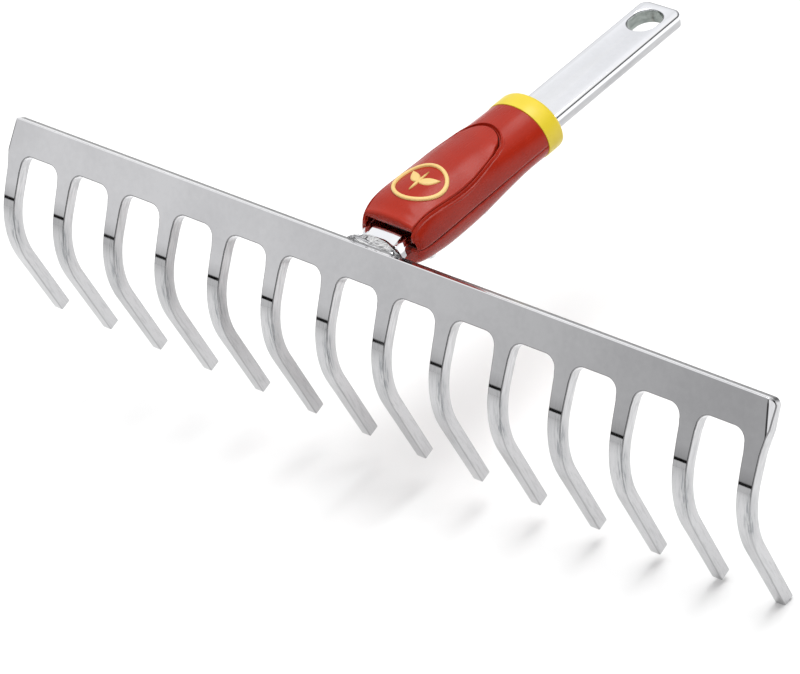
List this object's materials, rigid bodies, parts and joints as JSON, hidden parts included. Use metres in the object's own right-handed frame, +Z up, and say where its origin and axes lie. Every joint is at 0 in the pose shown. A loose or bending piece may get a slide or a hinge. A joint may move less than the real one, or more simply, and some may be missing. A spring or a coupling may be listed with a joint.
{
  "type": "rake head",
  "caption": "Steel soil-rake head with bent tines on a flat tang, in a two-part housing with a rocking release pad for a long handle.",
  "frame": {"origin": "on the tang's axis, at the mouth of the housing where the handle seats", "axes": "+X along the bar, +Y along the tang away from the rake, +Z up, with the tines pointing down"},
  "size_m": [0.343, 0.1848, 0.0906],
  "materials": {
    "plated_steel": "bright zinc plating, satin face",
    "red_plastic": "moulded, semi-gloss",
    "yellow_plastic": "moulded, semi-gloss",
    "yellow_print": "raised moulded mark",
    "black_plastic": "moulded",
    "inner_steel": "stamped and zinc plated",
    "spring_steel": "drawn wire",
    "rubber": "moulded"
  },
  "bodies": {
    "head": {"rake_head": "plated_steel", "tang": "plated_steel", "weld_collar": "plated_steel", "upper_shell": "red_plastic", "lower_shell": "red_plastic", "collar_ring": "yellow_plastic", "socket_sleeve": "black_plastic", "pivot_bracket": "inner_steel", "pivot_pin": "inner_steel", "bracket_rivets": "inner_steel", "return_spring": "spring_steel", "spring_cup": "black_plastic", "shell_screws": "inner_steel", "stop_cushion": "rubber"},
    "pad": {"release_pad": "red_plastic", "emblem_ring": "yellow_print", "emblem_badge": "yellow_print", "latch_hook": "inner_steel", "latch_rivets": "inner_steel"}
  },
  "joints": [
    {"name": "pad_press", "type": "hinge", "parent": "head", "child": "pad", "pos_m": [0, -0.047, 0.007], "axis": [1, 0, 0], "range_deg": [0, 5], "stiffness_Nm_per_rad": 0.58, "springref_deg": -8.59, "deforming": ["return_spring"]}
  ]
}
